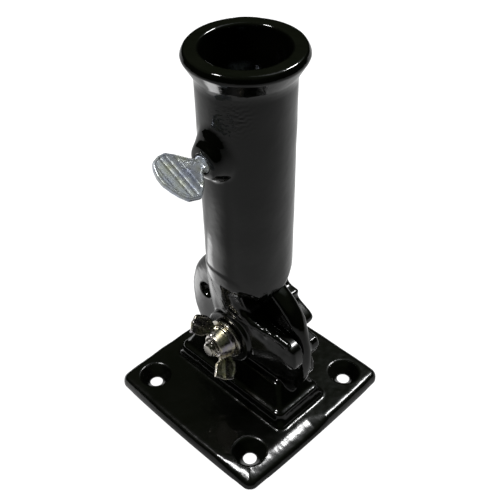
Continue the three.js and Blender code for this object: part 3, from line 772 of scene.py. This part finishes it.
def plated_material(name, base, tint_a, tint_b, rough, scale=260, metal=1.0):
    m = Nodes(name)
    tc = m.t.nodes.new("ShaderNodeTexCoord")
    co = tc.outputs["Object"]
    p = m.t.nodes.new("ShaderNodeBsdfPrincipled")
    m.link(p.outputs[0], m.out.inputs["Surface"])
    n1 = m.noise(co, scale, 3)
    col = m.ramp(n1.outputs["Fac"], [(0.32, tint_a), (0.5, base), (0.7, tint_b)])
    # painted shade: the base colour is darkened to 0.45 in concave creases and thread roots, where pointiness is low
    geo = m.t.nodes.new("ShaderNodeNewGeometry")
    edge = m.ramp(geo.outputs["Pointiness"], [(0.42, (0.45, 0.45, 0.45)), (0.5, (1, 1, 1))])
    mul = m.t.nodes.new("ShaderNodeMix")
    mul.data_type = "RGBA"
    mul.blend_type = "MULTIPLY"
    mul.inputs["Factor"].default_value = 1.0
    m.link(col.outputs["Color"], mul.inputs["A"])
    m.link(edge.outputs["Color"], mul.inputs["B"])
    m.link(mul.outputs["Result"], p.inputs["Base Color"])
    p.inputs["Metallic"].default_value = metal
    n2 = m.noise(co, 900, 3)
    r = m.ramp(n2.outputs["Fac"], [(0.3, (rough * 0.7,) * 3), (0.75, (rough * 1.6,) * 3)])
    m.link(r.outputs["Color"], p.inputs["Roughness"])
    n3 = m.noise(co, 2600, 3, 0.6)
    nn = bump(m, n3.outputs["Fac"], 0.00006, 0.25)
    m.link(nn, p.inputs["Normal"])
    return m.mat


enamel = enamel_material()
zinc = plated_material("clear_zinc_plating", (0.72, 0.76, 0.80), (0.58, 0.63, 0.78), (0.74, 0.77, 0.64), 0.30, metal=0.62)
nutmat = plated_material("warm_zinc_plating", (0.52, 0.49, 0.43), (0.40, 0.37, 0.44), (0.62, 0.56, 0.36), 0.25)
boltmat = plated_material("bolt_plating", (0.46, 0.44, 0.40), (0.34, 0.32, 0.30), (0.56, 0.52, 0.42), 0.20)


def set_mat(ob, mat):
    if ob.data.materials:
        for i in range(len(ob.data.materials)):
            ob.data.materials[i] = mat
    else:
        ob.data.materials.append(mat)


set_mat(base_casting, enamel)
set_mat(tube_casting, enamel)
set_mat(hex_bolt, boltmat)
set_mat(plain_washer, boltmat)
set_mat(winged_nut, nutmat)
set_mat(spade_screw, zinc)
for node, mat in (("base_plate", enamel), ("pole_tube", enamel), ("pivot_bolt", boltmat), ("flat_washer", boltmat), ("wing_nut", nutmat), ("thumb_screw", zinc)):
    set_mat(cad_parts[node], mat)

# ---------------------------------------------------------------- floor, lights, camera
me = bpy.data.meshes.new("floor")
me.from_pydata([(-4, -4, 0), (4, -4, 0), (4, 4, 0), (-4, 4, 0)], [], [(0, 1, 2, 3)])
floor = bpy.data.objects.new("floor", me)
bpy.context.scene.collection.objects.link(floor)
floor.location.z = -0.0002
fm = Nodes("pale_floor")
em = fm.t.nodes.new("ShaderNodeEmission")
em.inputs["Color"].default_value = (1, 1, 1, 1)
lp = fm.t.nodes.new("ShaderNodeLightPath")
# painted shadow in the floor's glow as seen in reflections: the floor towards the camera is dimmer than the floor
# behind, and dims further out that way, standing in for a shadow cast on the table towards the camera
geo = fm.t.nodes.new("ShaderNodeNewGeometry")
dot = fm.t.nodes.new("ShaderNodeVectorMath")
dot.operation = "DOT_PRODUCT"
fm.link(geo.outputs["Position"], dot.inputs[0])
dot.inputs[1].default_value = (-0.69, -0.72, 0)
fade = fm.t.nodes.new("ShaderNodeMapRange")
fade.interpolation_type = "SMOOTHSTEP"
fade.inputs["From Min"].default_value = -0.10
fade.inputs["From Max"].default_value = 0.12
fade.inputs["To Min"].default_value = 0.40
fade.inputs["To Max"].default_value = 0.14
fm.link(dot.outputs["Value"], fade.inputs["Value"])
far = fm.t.nodes.new("ShaderNodeMapRange")
far.inputs["From Min"].default_value = 0.10
far.inputs["From Max"].default_value = 0.45
far.inputs["To Min"].default_value = 1.0
far.inputs["To Max"].default_value = 0.55
fm.link(dot.outputs["Value"], far.inputs["Value"])
# painted light: two glowing patches on the floor to the back left, seen only in reflections, to brighten the
# reflections on the disc's left fin and the barrel's lower left edge
near = fm.t.nodes.new("ShaderNodeVectorMath")
near.operation = "DISTANCE"
fm.link(geo.outputs["Position"], near.inputs[0])
near.inputs[1].default_value = (-0.055, 0.075, 0)
painted_glow_patch = fm.t.nodes.new("ShaderNodeMapRange")
painted_glow_patch.interpolation_type = "SMOOTHSTEP"
painted_glow_patch.inputs["From Min"].default_value = 0.010
painted_glow_patch.inputs["From Max"].default_value = 0.070
painted_glow_patch.inputs["To Min"].default_value = 0.75
painted_glow_patch.inputs["To Max"].default_value = 0.0
fm.link(near.outputs["Value"], painted_glow_patch.inputs["Value"])
near2 = fm.t.nodes.new("ShaderNodeVectorMath")
near2.operation = "DISTANCE"
fm.link(geo.outputs["Position"], near2.inputs[0])
near2.inputs[1].default_value = (-0.020, 0.084, 0)
painted_glow_patch2 = fm.t.nodes.new("ShaderNodeMapRange")
painted_glow_patch2.interpolation_type = "SMOOTHSTEP"
painted_glow_patch2.inputs["From Min"].default_value = 0.012
painted_glow_patch2.inputs["From Max"].default_value = 0.034
painted_glow_patch2.inputs["To Min"].default_value = 1.8
painted_glow_patch2.inputs["To Max"].default_value = 0.0
fm.link(near2.outputs["Value"], painted_glow_patch2.inputs["Value"])
painted_glow_patches = fm.maths("ADD", painted_glow_patch.outputs["Result"], painted_glow_patch2.outputs["Result"])
seen = fm.maths("MULTIPLY_ADD", fade.outputs["Result"], far.outputs["Result"], painted_glow_patches)
inv = fm.maths("SUBTRACT", 1.0, lp.outputs["Is Camera Ray"])
fm.link(fm.maths("MULTIPLY_ADD", lp.outputs["Is Camera Ray"], 0.98, fm.maths("MULTIPLY", inv, seen)), em.inputs["Strength"])
df = fm.t.nodes.new("ShaderNodeBsdfDiffuse")
df.inputs["Color"].default_value = (0.18, 0.18, 0.18, 1)
ad = fm.t.nodes.new("ShaderNodeAddShader")
fm.link(em.outputs[0], ad.inputs[0])
fm.link(df.outputs[0], ad.inputs[1])
fm.link(ad.outputs[0], fm.out.inputs["Surface"])
me.materials.append(fm.mat)

world = bpy.data.worlds.new("studio")
bpy.context.scene.world = world
world.use_nodes = True
bg = world.node_tree.nodes["Background"]
wt = world.node_tree
wc = wt.nodes.new("ShaderNodeTexCoord")
wd = wt.nodes.new("ShaderNodeVectorMath")
wd.operation = "DOT_PRODUCT"
wt.links.new(wc.outputs["Generated"], wd.inputs[0])
wd.inputs[1].default_value = (0.516, -0.08, 0.853)
wr = wt.nodes.new("ShaderNodeValToRGB")
wr.color_ramp.elements.new(0.945)
for el, (pos, c) in zip(wr.color_ramp.elements, ((0.87, (0.042, 0.050, 0.030, 1)), (0.945, (0.30, 0.34, 0.30, 1)), (0.985, (0.85, 0.88, 0.9, 1)))):
    el.position = pos
    el.color = c
wt.links.new(wd.outputs["Value"], wr.inputs["Fac"])
# darker towards the horizon
ws = wt.nodes.new("ShaderNodeSeparateXYZ")
wt.links.new(wc.outputs["Generated"], ws.inputs[0])
wm = wt.nodes.new("ShaderNodeMapRange")
wm.inputs["From Min"].default_value = 0.40
wm.inputs["From Max"].default_value = 0.60
wm.inputs["To Min"].default_value = 0.07
wm.inputs["To Max"].default_value = 1.0
wt.links.new(ws.outputs["Z"], wm.inputs["Value"])
wx = wt.nodes.new("ShaderNodeVectorMath")
wx.operation = "SCALE"
wt.links.new(wr.outputs["Color"], wx.inputs[0])
wt.links.new(wm.outputs["Result"], wx.inputs["Scale"])
# seen directly, the backdrop is plain pale
wl = wt.nodes.new("ShaderNodeLightPath")
wq = wt.nodes.new("ShaderNodeMix")
wq.data_type = "RGBA"
wt.links.new(wl.outputs["Is Camera Ray"], wq.inputs["Factor"])
wt.links.new(wx.outputs[0], wq.inputs["A"])
wq.inputs["B"].default_value = (0.98, 0.98, 0.98, 1)
wt.links.new(wq.outputs["Result"], bg.inputs["Color"])
bg.inputs["Strength"].default_value = 1.0


def area(name, direction, dist, size, power, target=(0, 0, 0.04), size_y=None, color=(1, 1, 1)):
    li = bpy.data.lights.new(name, "AREA")
    li.shape = "RECTANGLE"
    li.size = size
    li.size_y = size_y or size
    li.energy = power
    li.color = color
    ob = bpy.data.objects.new(name, li)
    bpy.context.scene.collection.objects.link(ob)
    d = Vector(direction).normalized()
    ob.location = Vector(target) + d * dist
    ob.rotation_euler = (-d).to_track_quat("-Z", "Y").to_euler()
    return ob


area("key", (0.547, -0.12, 0.83), 0.9, 0.16, 7.0, size_y=0.22)
area("left_top", (-0.35, 0.22, 0.91), 0.8, 0.11, 3.6)

cam = bpy.data.cameras.new("camera")
cam.sensor_width = 36
cam.lens = 53.156
cam.clip_start = 0.01
co = bpy.data.objects.new("camera", cam)
bpy.context.scene.collection.objects.link(co)
right = Vector((0.7055267, -0.70840088, -0.02000664))
up = Vector((0.45009189, 0.42610248, 0.78476364))
back = Vector((-0.54740237, -0.56267653, 0.61947217))
pos = Vector((-144.673, -150.886, 234.806)) * MM
co.matrix_world = Matrix((
    (right.x, up.x, back.x, pos.x),
    (right.y, up.y, back.y, pos.y),
    (right.z, up.z, back.z, pos.z),
    (0, 0, 0, 1),
))
bpy.context.scene.camera = co
bpy.context.scene.view_settings.view_transform = "Standard"
